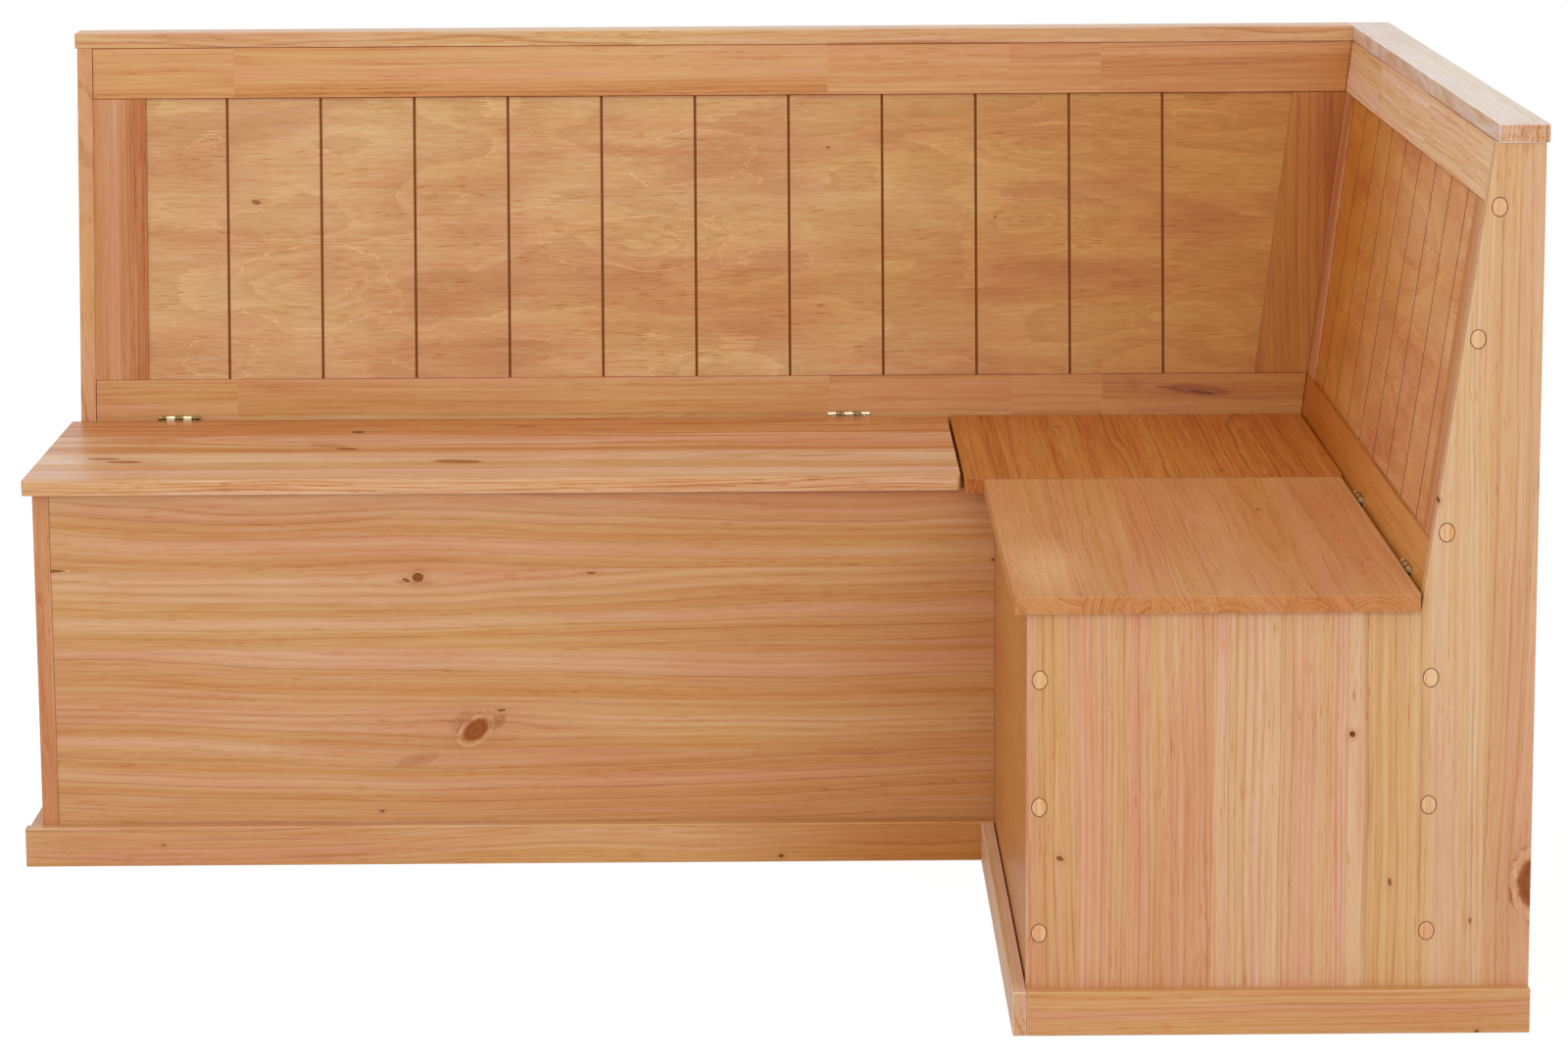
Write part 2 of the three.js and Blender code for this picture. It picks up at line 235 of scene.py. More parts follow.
def mix(factor, first, second, blend="MIX"):
    return value_of(
        "Mix", {"Factor": factor, 6: first, 7: second}, 2, data_type="RGBA", blend_type=blend,
    )


def outputs_of(node):
    return {output.name: Value(output) for output in node.outputs}


SOCKETS = {"VALUE": "NodeSocketFloat", "VECTOR": "NodeSocketVector", "RGBA": "NodeSocketColor"}


def new_group(name, vectors="", numbers="", colours=""):
    """Starts a shader group and gives the values of its named inputs."""
    Shader.tree = tree = bpy.data.node_groups.new(name, "ShaderNodeTree")
    for kind, names in (("VECTOR", vectors), ("VALUE", numbers), ("RGBA", colours)):
        for socket in filter(None, names.split(", ")):
            tree.interface.new_socket(socket, in_out="INPUT", socket_type=SOCKETS[kind])
    return outputs_of(tree.nodes.new("NodeGroupInput"))


def finish_group(**outputs):
    tree = Shader.tree
    for name, value in outputs.items():
        kind = SOCKETS[value.socket().type]
        tree.interface.new_socket(name, in_out="OUTPUT", socket_type=kind)
    result = tree.nodes.new("NodeGroupOutput")
    for name, value in outputs.items():
        feed(value, result.inputs[name])
    return tree


def place_group(name, inputs):
    """Places a group in the tree and gives its outputs by their names."""
    return outputs_of(put("Group", inputs, node_tree=GROUPS[name]))


# ---------------------------------------------------------------- wood, as shader groups

DARK_KNOT = srgb(78, 38, 8)
RED_KNOT = srgb(150, 78, 16)
KNOT_RIM = srgb(236, 188, 136)
DEEPENING = (0.35, 0.95, 1.75)
# Painted corner shade: colours are multiplied by this towards the inner corner, as the shade and
# bounced orange light there
CORNER_SHADE_TINT = srgb(226, 193, 106)
HALF = (0.5, 0.5, 0.5)
RING_NUMBERS = (
    "Within, Log, Heart Distance, Heart Angle, Angle Spread, Ring Width, Sharpness, Wander, Seed"
)


def knot_group():
    """One knot across a board: a core with a darker rim, a pale ring round it and a broken dark
    one on its upper side. The grain flows round it, and its surroundings darken. A pale knot is
    only a soft stain."""
    given = new_group(
        "knot", "Place, Flow",
        "Knot, Halo, Glow, Along, Across, Radius, Stretch, Turn, Depth",
    )
    place, radius, stretch, depth = (
        given[name] for name in ("Place", "Radius", "Stretch", "Depth")
    )
    dx, dy, _ = split(place - join(given["Along"], given["Across"], 0.0))
    turned = value_of("VectorRotate", {
        "Vector": join(dx, dy, 0.0), "Angle": given["Turn"],
    }, rotation_type="Z_AXIS")
    tx, ty, _ = split(turned)
    ragged = noise(place, 170.0) * 0.34 + 0.83
    far = calc("LENGTH", join(tx / stretch, ty, 0.0)) / radius * ragged
    hard = ramp(depth, 0.44, 0.62)
    upper = ramp(ty / radius, -0.5, 0.9)
    broken = ramp(noise(place, 70.0, 1.0), 0.34, 0.6)
    rim = ramp(far, 0.7, 0.94) * (upper * 0.36 + 0.04)
    mottle = noise(turned * (150.0, 420.0, 0.0), 1.0, 3.0)
    rings = mottle * 0.8 + (calc("SINE", far * 13.0) * 0.14 + 0.4 + rim)
    bark = ramp(far, 1.34, 1.42) * ramp(far, 1.56, 1.46) * (upper * 0.5) * (broken * hard)
    dark = (ramp(far, 1.1, depth * 0.62 + 0.25) * rings + bark) * depth
    glow = ramp(far, 1.02, 1.14) * ramp(far, 1.36, 1.22) * (hard * broken)
    spread = calc("LENGTH", join(dx / (stretch * 3.2), dy, 0.0)) / (radius * 1.4)
    push = calc("DIVIDE", 1.0, spread * spread + 1.0) * hard * dy * -0.9
    return finish_group(
        Flow=given["Flow"] + join(0.0, push, 0.0),
        Knot=calc("MAXIMUM", given["Knot"], dark),
        Halo=calc("MAXIMUM", given["Halo"], ramp(far, 3.6, 1.1) * depth),
        Glow=calc("MAXIMUM", given["Glow"], glow),
    )


def ring_group():
    """Growth rings of a log whose heart wanders beside the board, cut by the board's faces."""
    given = new_group("growth_rings", "Flow", RING_NUMBERS)
    along, _, depth = split(given["Flow"])
    within, heart, seed = (given[name] for name in ("Within", "Heart Distance", "Seed"))
    chance = value_of(
        "TexWhiteNoise", {"W": given["Log"] * 57.3 + seed}, "Color", noise_dimensions="1D",
    )
    first, second, third = split(chance)
    turn = (first - 0.5) * given["Angle Spread"] + given["Heart Angle"]
    shifted = second * 7.0 + along
    drift = noise(join(shifted, third * 5.0 + seed, 0.0), 1.1, 1.5, output="Color")
    _, drift_across, drift_depth = split(value_of("VectorMath", {
        0: drift - HALF, "Scale": given["Wander"],
    }, operation="SCALE"))
    ripple = drawn_out((shifted, within, depth), 4.0, 26.0) - 0.5
    y = within - calc("SINE", turn) * heart + drift_across
    z = depth - calc("COSINE", turn) * heart + drift_depth
    count = (calc("LENGTH", join(0.0, y, z)) + ripple * 0.009) / given["Ring Width"]
    years = third * 40.0 + count
    part = calc("FRACT", noise_along(years, 0.31) * 1.8 + count)
    gone = ramp(part, 1.0, 0.9)
    slow = ramp(part, 0.1, 0.92) * gone
    sharper = ramp(part, 0.66, 0.9) * gone - slow
    late = sharper * given["Sharpness"] + slow
    return finish_group(
        Late=late * ramp(noise_along(years + 17.0, 0.83), 0.34, 0.66, 0.1, 1.0),
        Band=noise_along(years + 91.0, 0.25, 2.0),
        Line=noise_along(years + 43.0, 2.4, 3.0),
    )


def fibre_group():
    """Fine streaks, wider strands, clouds and short open pores, all drawn out along the grain."""
    place = split(new_group("fibres", "Flow")["Flow"])
    pore = ramp(drawn_out(place, 42.0, 600.0, detail=1.0), 0.58, 0.7)
    patch = ramp(drawn_out(place, 5.0, 34.0), 0.4, 0.62)
    return finish_group(
        Streak=drawn_out(place, 10.0, 300.0, detail=3.0, roughness=0.7),
        Strand=drawn_out(place, 3.0, 105.0, detail=2.5, roughness=0.62),
        Pore=pore * patch,
        Cloud=drawn_out(place, 1.7, 10.0, detail=3.0, roughness=0.55),
    )


def finish_colour(given, colour, level):
    """A wood's colour with its level and knots on it, and a painted corner shade: darker and more
    orange towards the inner corner, where the bench shades itself. Knots are red-brown, and dark at
    the heart."""
    level = calc("MAXIMUM", level, 0.05)
    tone = value_of("CombineColor", {
        channel: calc("POWER", level, share) for channel, share in enumerate(DEEPENING)
    })
    colour = mix(1.0, colour, tone, "MULTIPLY")
    colour = mix(given["Halo"] * 0.42, colour, given["Late"])
    colour = mix(given["Glow"] * 0.4, colour, KNOT_RIM)
    colour = mix(ramp(given["Knot"], 0.0, 0.5), colour, RED_KNOT)
    colour = mix(ramp(given["Knot"], 0.5, 1.0), colour, DARK_KNOT)
    # painted shade towards the inner corner
    return mix(given["Warmth"], colour, CORNER_SHADE_TINT, "MULTIPLY")


def pine_group():
    """Sawn and lacquered pine: colour, roughness and relief at a place along, across and into
    the board. Its rings, fibres and knots follow the same place."""
    given = new_group(
        "sawn_pine", "Flow",
        f"{RING_NUMBERS}, Knot, Halo, Glow, Eased, End Grain, Warmth, Redness, Tone, Seam, "
        "Ring Strength, Band Strength, Streak Strength, Strand Strength, Edge Tone, End Tone, "
        "Pale",
        "Early, Late, Blush, Gold",
    )
    rings = place_group("rings", {
        name: given[name] for name in ["Flow", *RING_NUMBERS.split(", ")]
    })
    fibres = place_group("fibres", {
        "Flow": given["Flow"] + join(given["Log"] * 3.0, 0.0, 0.0),
    })
    strand, cloud = (fibres[name] - 0.5 for name in ("Strand", "Cloud"))
    streak = (fibres["Streak"] - 0.5) * given["Streak Strength"]
    line = (rings["Line"] - 0.5) * given["Streak Strength"]
    band = rings["Band"] - 0.5
    red = added(given["Redness"], (band, 2.0), (cloud, 2.0), (strand, 0.8))
    colour = mix(ramp(red, 0.05, -0.5), given["Early"], given["Gold"])
    colour = mix(ramp(red, -0.05, 0.5), colour, given["Blush"])
    strength = given["End Grain"] * 0.35 + given["Ring Strength"]
    faded = ramp(cloud, -0.22, 0.1, 0.55, 1.0)
    late = added(rings["Late"] * (strength * faded), (streak, -0.5), (line, -0.5))
    colour = mix(ramp(late, 0.0, 1.0), colour, given["Late"])
    # painted sheen: pale patches standing for a reflection on the wood
    colour = mix(given["Pale"] * 0.6, colour, KNOT_RIM)
    level = added(
        1.0, (band, given["Band Strength"]), (cloud, -0.25), (streak, 0.55), (line, 0.45),
        (strand, given["Strand Strength"]), (given["Tone"], 1.0), (fibres["Pore"], -0.3),
        (given["Seam"], -0.1), (given["End Grain"], given["End Tone"]),
        # eased edges: paler as wear with a painted highlight, or darker as painted shade in the
        # frames' joints
        (given["Eased"], given["Edge Tone"]),
    )
    return finish_group(
        Colour=finish_colour(given, colour, level),
        Roughness=added(0.38, (fibres["Streak"], 0.16), (fibres["Pore"], 0.2)),
        Relief=added(
            late, (fibres["Streak"], 0.5), (fibres["Pore"], -0.9), (given["Seam"], -0.8),
        ),
    )


def swirl_group():
    """A rise in a veneer's height, so that the cloudy figure runs round its place, and the
    distance from its edge. Size is one over its length and width, and Shift its place by them."""
    given = new_group("swirl", "Place, Size, Shift", "Height, Edge, Rise")
    shape = given["Place"] * given["Size"] + given["Shift"]
    far = calc("LENGTH", shape)
    slope = calc("LENGTH", shape * given["Size"])
    away = calc("ABSOLUTE", (far - 1.0) * (far / slope))
    return finish_group(
        Height=ramp(far, 1.0, 0.0) * given["Rise"] + given["Height"],
        Edge=calc("MINIMUM", given["Edge"], away),
    )


def veneer_group():
    """Rotary-cut pine veneer: cloudy bands along the sheet, patches edged by broken pale lines,
    and small dark flecks."""
    given = new_group(
        "rotary_veneer", "Flow", "Knot, Halo, Glow, Height, Edge, Groove, Warmth, Seed",
        "Stain, Early, Late, Blush, Gold",
    )
    along, across, _ = split(given["Flow"])
    sheet = (along + given["Seed"], across, 0.0)
    fibres = place_group("fibres", {"Flow": join(*sheet)})
    streak, strand, cloud = (fibres[name] - 0.5 for name in ("Streak", "Strand", "Cloud"))
    hills = drawn_out(sheet, 2.4, 7.0, roughness=0.45, distortion=0.3)
    jagged = drawn_out(sheet, 26.0, 260.0) - 0.5
    flakes = drawn_out(sheet, 46.0, 420.0) - 0.5
    smear = drawn_out(sheet, 3.6, 13.0, detail=3.0, roughness=0.55)
    shade = drawn_out(sheet, 1.1, 4.0, detail=1.0)
    part = calc("FRACT", (jagged * 0.05 + (given["Height"] + hills)) * 8.0)
    broken = ramp(drawn_out(sheet, 9.0, 30.0), 0.5, 0.62)
    drawn = ramp(drawn_out(sheet, 14.0, 50.0), 0.36, 0.5)
    line = ramp(part, 0.0, 0.02) * ramp(part, 0.07, 0.03) * (broken * 0.5)
    line = calc("MAXIMUM", line, ramp(given["Edge"], 1.1 * MM, 0.3 * MM) * drawn)
    colour = mix(ramp(shade, 0.42, 0.6), given["Early"], given["Gold"])
    colour = mix(ramp(smear, 0.4, 0.66), colour, given["Blush"])
    colour = mix(ramp(part, 0.05, 0.95) * 0.34, colour, given["Late"])
    colour = mix(ramp(smear, 0.5, 0.78, 0.0, 0.75), colour, given["Late"])
    colour = mix(line * 0.6, colour, KNOT_RIM)
    level = added(
        1.0, (streak, 0.6), (flakes, 0.6), (strand, 0.3), (cloud, -0.75), (fibres["Pore"], -0.4),
    )
    colour = finish_colour(given, colour, level)
    return finish_group(
        # the grooves' colour: stain gathered in them, and painted shade
        Colour=mix(given["Groove"], colour, given["Stain"]),
        Roughness=fibres["Streak"] * 0.16 + 0.4,
        Relief=added(fibres["Streak"], (fibres["Pore"], -0.9), (line, 0.4)),
    )


GROUPS = {}
GROUPS["knot"] = knot_group()
GROUPS["rings"] = ring_group()
GROUPS["fibres"] = fibre_group()
GROUPS["pine"] = pine_group()
GROUPS["swirl"] = swirl_group()
GROUPS["veneer"] = veneer_group()


# ---------------------------------------------------------------- materials

AXES = {"x": 0, "y": 1, "z": 2}
UPRIGHT = (0.0, 0.0, 0.0)
GLUE_LINE = 0.7 * MM
GOLDEN_STEP = 0.618
GRAIN_AXIS = {}


def shades(red, green, blue):
    """A board's early and late wood and its pinker and yellower parts, from its middle colour."""
    base = srgb(red, green, blue)

    def toned(*shares):
        return tuple(value * share for value, share in zip(base, shares)) + (1.0,)

    return {
        "Early": base,
        "Late": toned(0.72, 0.57, 0.44),
        "Blush": toned(0.98, 0.84, 0.88),
        "Gold": toned(1.01, 1.05, 0.93),
    }


HONEY = shades(205, 150, 98)
# Boards' eased edges are a little paler: wear with a painted highlight
PLAIN_BOARD = dict(
    ring_strength=0.6, band_strength=0.4, streak_strength=1.2, strand_strength=0.42,
    sharpness=0.35, edge_tone=0.2, end_tone=-0.16, heart_distance=0.12, heart_angle=0.3,
    angle_spread=0.0, ring_width=0.0055, wander=0.06, seed=1.0,
)


def object_place():
    return value_of("TexCoord", output="Object")


def grain_place(grain, centre, lean):
    """Object coordinates, moved to a centre and turned upright, then put in the order along
    the grain, across the board, into the board."""
    moved = value_of("Mapping", {
        "Vector": object_place(), "Location": [-value for value in centre],
    })
    if any(lean):
        moved = value_of("Mapping", {"Vector": moved, "Rotation": lean})
    parts = split(moved)
    return join(*[parts[AXES[axis]] for axis in grain])


def knotted(place, knots):
    """The grain's flow and the masks of the knots: each is along, across, radius, stretch,
    turn in degrees and darkness."""
    made = {"Flow": place, "Knot": 0.0, "Halo": 0.0, "Glow": 0.0}
    for along, across, radius, stretch, turn, darkness in knots:
        made = place_group("knot", {
            **made, "Place": place, "Along": along * MM, "Across": across * MM,
            "Radius": radius * MM, "Stretch": stretch, "Turn": math.radians(turn),
            "Depth": darkness,
        })
    return made


def look_up(across, boards, last_edge, colours):
    """One colour for each board, held from its first edge to the next one's."""
    first_edge = boards[0][0]
    share = value_of("MapRange", {
        "Value": across, "From Min": first_edge * MM, "From Max": last_edge * MM,
    })
    node = put("ValToRGB", {"Fac": share})
    steps = node.color_ramp
    steps.interpolation = "CONSTANT"
    for index, (board, colour) in enumerate(zip(boards, colours)):
        position = (board[0] - first_edge) / (last_edge - first_edge)
        step = steps.elements[index] if index < 2 else steps.elements.new(position)
        step.position = position
        step.color = (*colour, 1.0)
    return Value(node.outputs["Color"])


def look_of(across, boards, last_edge):
    """Each board's redness, tone and log, as a colour."""
    return look_up(across, boards, last_edge, [
        (board[1] + 0.5, board[2] + 0.5, (index * GOLDEN_STEP + 0.31) % 1.0)
        for index, board in enumerate(boards)
    ])


def own_look(look):
    red, tone, log = split(look)
    return {"Redness": red - 0.5, "Tone": tone - 0.5, "Log": log}


def staved(place, flow, staves, last_edge):
    """Glued-up staves: each is its first edge in millimetres, its redness and its tone. Gives
    a place within the stave, its own log, its looks and the glue line at its edge."""
    across = split(place)[1]
    edges = [stave[0] for stave in staves] + [last_edge]
    start, span = edges[0], last_edge - edges[0]
    middles = [
        (((low + high) / 2 - start) / span,) * 3 for low, high in zip(edges, edges[1:])
    ]
    look = look_of(across, staves, last_edge)
    beside = look_of(across + GLUE_LINE, staves, last_edge)
    middle = split(look_up(across, staves, last_edge, middles))[0]
    return {
        **own_look(look),
        "Within": split(flow)[1] - (middle * (span * MM) + start * MM),
        "Seam": calc("GREATER_THAN", calc("LENGTH", look - beside), 0.02),
    }


def one_board(flow):
    return {"Redness": 0.0, "Tone": 0.0, "Log": 0.5, "Within": split(flow)[1], "Seam": 0.0}


def torn(place):
    """A place shifted to and fro, so that a line drawn by it looks torn along the grain."""
    along, across, _ = split(place)
    sheet = (along, across, 0.0)
    slow = drawn_out(sheet, 12.0, 34.0, detail=1.0, output="Color") - HALF
    quick = drawn_out(sheet, 22.0, 260.0) - 0.5
    return place + slow * (0.07, 0.028, 0.0) + join(quick * 0.034, 0.0, 0.0)


def swirled(place, swirls):
    """The height of round figures and the distance from their edges: each is along, across,
    length, width and rise."""
    made = {"Height": 0.0, "Edge": 1.0}
    for along, across, length, width, rise in swirls:
        made = place_group("swirl", {
            **made, "Place": place, "Rise": rise,
            "Size": (1000 / length, 1000 / width, 0.0),
            "Shift": (-along / length, -across / width, 0.0),
        })
    return made


def painted_corner_shade(axis, start, full, share):
    """How much painted corner shade a board takes, from where it starts to where it is full, in
    metres: shade painted into the colour towards the inner corner."""
    return ramp(split(object_place())[AXES[axis]], start, full, 0.0, share)


def mask(name):
    return value_of("Attribute", output="Fac", attribute_name=name)


def new_material(name, colour):
    material = bpy.data.materials.new(name)
    material.use_nodes = True
    material.diffuse_color = colour
    Shader.tree = material.node_tree
    return material


def finish_surface(colour, rough, height, strength, depth, more=None):
    """Feeds the material's shader, with a height for its relief."""
    bump = value_of("Bump", {"Height": height, "Strength": strength, "Distance": depth})
    surface = {"Base Color": colour, "Roughness": rough, "Normal": bump, **(more or {})}
    shader = Shader.tree.nodes["Principled BSDF"]
    for name, value in surface.items():
        feed(value, shader.inputs[name])


def titled(words):
    """Names such as ring_width written as an input's name, Ring Width."""
    return {name.replace("_", " ").title(): value for name, value in words.items()}


def lacquer(wood, relief, gloss):
    """Satin lacquer over a wood group's colour, roughness and relief."""
    finish_surface(
        wood["Colour"], wood["Roughness"], wood["Relief"], relief, 0.15 * MM,
        {"Coat Weight": gloss, "Coat Roughness": 0.28, "Specular IOR Level": 0.15},
    )


def pine(
    name, grain, centre, colours=HONEY, knots=(), staves=None, lengths=None,
    lean=UPRIGHT, corner_shade=None, pale=(), gloss=0.35, **look,
):
    """A board's own pine: cut from its own log, glued up from staves, or joined end to end from
    lengths. Staves and lengths come with their last edge. Patches of painted sheen, pale like a
    reflection on the lacquer, are given as swirls are."""
    material = new_material(name, colours["Early"])
    GRAIN_AXIS[name] = AXES[grain[0]]
    place = grain_place(grain, centre, lean)
    figure = knotted(place, knots)
    flow = figure["Flow"]
    board = staved(place, flow, *staves) if staves else one_board(flow)
    if lengths:
        board.update(own_look(look_of(split(place)[0], *lengths)))
    wood = place_group("pine", {
        **colours, **titled(PLAIN_BOARD), **figure, **board, **titled(look),
        "Eased": mask("eased"),
        "End Grain": mask("end_grain"),
        "Warmth": painted_corner_shade(*corner_shade) if corner_shade else 0.0,
        "Pale": swirled(torn(place), pale)["Height"],
    })
    lacquer(wood, 0.35, gloss)
    return material


def veneer(
    name, grain, centre, seed, colours=HONEY, knots=(), swirls=(),
    lean=UPRIGHT, face=None, corner_shade=None, stain=srgb(120, 70, 34), stain_and_shade_depths=(0.25, 0.7),
):
    """A plywood face with its swirls. Where the sheet has grooves, face is the depth of its front,
    and the grooves darken behind it, between two given depths in millimetres: partly stain gathered
    in them, partly painted shade."""
    material = new_material(name, colours["Early"])
    GRAIN_AXIS[name] = AXES[grain[0]]
    place = grain_place(grain, centre, lean)
    groove = 0.0
    if face is not None:
        behind = split(place)[2] - face
        groove = ramp(behind, stain_and_shade_depths[0] * MM, stain_and_shade_depths[1] * MM)
        groove = groove * ramp(behind, 3.2 * MM, 2.6 * MM)
    wood = place_group("veneer", {
        **colours, **knotted(place, knots), **swirled(torn(place), swirls),
        "Groove": groove, "Stain": stain, "Seed": seed,
        "Warmth": painted_corner_shade(*corner_shade) if corner_shade else 0.0,
    })
    lacquer(wood, 0.25, 0.15)
    return material


def plug_gap_shade():
    """The dark ring round a plug: painted shade of the narrow gap between plug and bore."""
    material = new_material("plug_gap_shade", srgb(120, 74, 40))
    thick = noise(object_place(), 260.0)
    colour = mix(ramp(thick, 0.3, 0.7), srgb(98, 54, 20), srgb(148, 94, 44))
    finish_surface(colour, thick * 0.2 + 0.45, thick, 0.3, 0.1 * MM)
    return material


def plated_metal(name, bright, dull):
    """Plated brass, worn bright in places and finely brushed."""
    material = new_material(name, bright)
    place = object_place()
    wear_and_painted_light = ramp(noise(place, 420.0, 3.0), 0.4, 0.62)
    brushed = noise(place * (300.0, 300.0, 5000.0))
    colour = mix(wear_and_painted_light, dull, bright)
    rough = wear_and_painted_light * -0.12 + 0.38
    finish_surface(colour, rough, brushed, 0.2, 0.02 * MM, {"Metallic": 1.0})
    return material


# ---------------------------------------------------------------- pieces

def settle(piece, body, slot, *replaced):
    """Puts a piece on the body it rides on and hides the solids it stands for. The slot is not
    used.
    """
    if replaced:
        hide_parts(*replaced)
    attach(piece, body)


def only(piece):
    """Leaves one object selected and active."""
    bpy.ops.object.select_all(action="DESELECT")
    piece.select_set(True)
    bpy.context.view_layer.objects.active = piece


def new_object(name, data):
    made = bpy.data.objects.new(name, data)
    bpy.context.scene.collection.objects.link(made)
    return made


def mode(name):
    bpy.ops.object.mode_set(mode=name)


def apply_modifier(piece, kind, **settings):
    modifier = piece.modifiers.new(kind.lower(), kind)
    for name, value in settings.items():
        setattr(modifier, name, value)
    bpy.ops.object.modifier_apply(modifier=modifier.name)


def body_of(node):
    bodies = frame["record"]["behaviour"]["bodies"]
    return next(body for body, members in bodies.items() if node in members)


def slot_of(node):
    subparts = frame["record"]["subparts"]
    return next(part["material_slot"] for part in subparts if part["node"] == node)


def eased_copy(node, ease, grain_axis):
    """A copy of a solid with its flat faces made whole and its edges eased. The edges of small
    bores are eased less."""
    mesh = frame["nodes"][node].data.copy()
    piece = new_object(f"{node}_finished", mesh)
    mesh.materials.clear()
    for _ in ("flat faces", "eased edges"):
        mesh.materials.append(None)
    only(piece)
    mode("EDIT")
    bpy.ops.mesh.select_all(action="SELECT")
    bpy.ops.mesh.remove_doubles(threshold=DOUBLES)
    bpy.ops.mesh.dissolve_limited(angle_limit=math.radians(1))
    mode("OBJECT")
    weigh_edges(mesh, ease)
    apply_modifier(piece, "BEVEL", limit_method="WEIGHT", width=ease, segments=3, material=1)
    mark_faces(piece.data, grain_axis)
    bpy.ops.object.shade_smooth_by_angle(angle=SMOOTH_ANGLE)
    apply_modifier(piece, "WEIGHTED_NORMAL", keep_sharp=True)
    return piece


def weigh_edges(mesh, ease):
    """Full ease on the edges of a board, a little on the many short edges round a bore."""
    shape = bmesh.new()
    shape.from_mesh(mesh)
    weight = shape.edges.layers.float.new("bevel_weight_edge")
    for edge in shape.edges:
        if len(edge.link_faces) == 2 and edge.calc_face_angle(0.0) > SMOOTH_ANGLE:
            edge[weight] = BORE_EASE / ease if edge.calc_length() < SHORT_EDGE else 1.0
    shape.to_mesh(mesh)
    shape.free()


def mark_faces(mesh, grain_axis):
    """Keeps on each face whether it is an eased edge and whether it is end grain. The wood makes
    eased edges paler, as wear with a painted highlight, or darker on the frames, as painted shade
    in their joints.
    """
    eased = mesh.attributes.new("eased", "FLOAT", "FACE")
    end_grain = mesh.attributes.new("end_grain", "FLOAT", "FACE")
    for face in mesh.polygons:
        wear_and_painted_light = face.material_index == 1
        eased.data[face.index].value = float(wear_and_painted_light)
        across_grain = not wear_and_painted_light and abs(face.normal[grain_axis]) > SQUARE_ON
        end_grain.data[face.index].value = float(across_grain)
        face.material_index = 0
    mesh.materials.clear()


def dress(node, material, ease):
    """Finishes one solid: its eased copy in its material stands for it."""
    piece = eased_copy(node, ease, GRAIN_AXIS.get(material.name, 0))
    piece.data.materials.append(material)
    settle(piece, body_of(node), slot_of(node), node)


def facing(place, outward, up=(0.0, 0.0, 1.0)):
    """Where a small part modelled at the origin, facing up, goes on a face of the bench."""
    out, over = Vector(outward).normalized(), Vector(up)
    across = over.cross(out).normalized()
    over = out.cross(across)
    turn = Matrix((across, over, out)).transposed().to_4x4()
    return Matrix.Translation(place) @ turn


def place_copy(model, name, place, materials, *settled):
    """A copy of a small part with its place in its own mesh, settled on its body."""
    mesh = model.data.copy()
    mesh.transform(place)
    for material in materials:
        mesh.materials.append(material)
    settle(new_object(name, mesh), *settled)


def build_long_chest():
    front = pine(
        "long_front_pine", "xzy", (0.0, LONG_FRONT_FACE, CHEST_MIDDLE), shades(205, 152, 102),
        knots=[
            (-349, 127, 5.6, 1.2, 0, 0.8), (-362, 124, 2.6, 2.0, 20, 0.6),
            (-352, 121, 4.6, 7.0, 2, 0.22), (-352, -82, 9.0, 3.8, -12, 0.24),
            (-303, -38, 11.0, 2.0, -46, 0.22), (-263, -40, 9.0, 1.7, -40, 0.3),
            (-287, -49, 11.4, 1.65, -38, 0.66), (-258, -26, 1.5, 3.6, -5, 0.8),
            (-155, 131, 1.1, 5.0, 0, 0.8), (-394, -142, 1.6, 1.6, 0, 0.8),
            (-760, 137, 2.2, 8.0, 0, 0.62), (295, 143, 1.3, 1.4, 0, 1.0),
            (555, 81, 8, 1.6, 0, 0.3),
        ],
        staves=([(-200, 0.02, 0.0), (-72, 0.0, 0.01), (46, -0.08, 0.02), (136, 0.1, -0.015)], 226),
        corner_shade=("x", -0.4, 0.3, 0.37),
        heart_angle=0.9, angle_spread=0.8, heart_distance=0.13, seed=3.0,
        ring_width=0.0062, streak_strength=1.0, band_strength=1.4,
    )
    dress("long_front_panel", front, BOARD_EASE)
    plinth = pine(
        "long_plinth_pine", "xzy", (0.0, LONG_PLINTH_FACE, PLINTH_MIDDLE), shades(206, 154, 105),
        knots=[(56, -15, 1.9, 1.4, 0, 1.0), (-640, 2, 2.2, 1.6, 0, 0.4)],
        corner_shade=("x", -0.1, 0.26, 0.75),
        seed=5.0, heart_angle=0.7, heart_distance=0.1, streak_strength=1.3,
    )
    dress("long_front_plinth", plinth, PLINTH_EASE)
    side = pine("left_plinth_pine", "yzx", (-0.79, 0.34, PLINTH_MIDDLE), seed=6.0)
    dress("long_end_plinth", side, PLINTH_EASE)


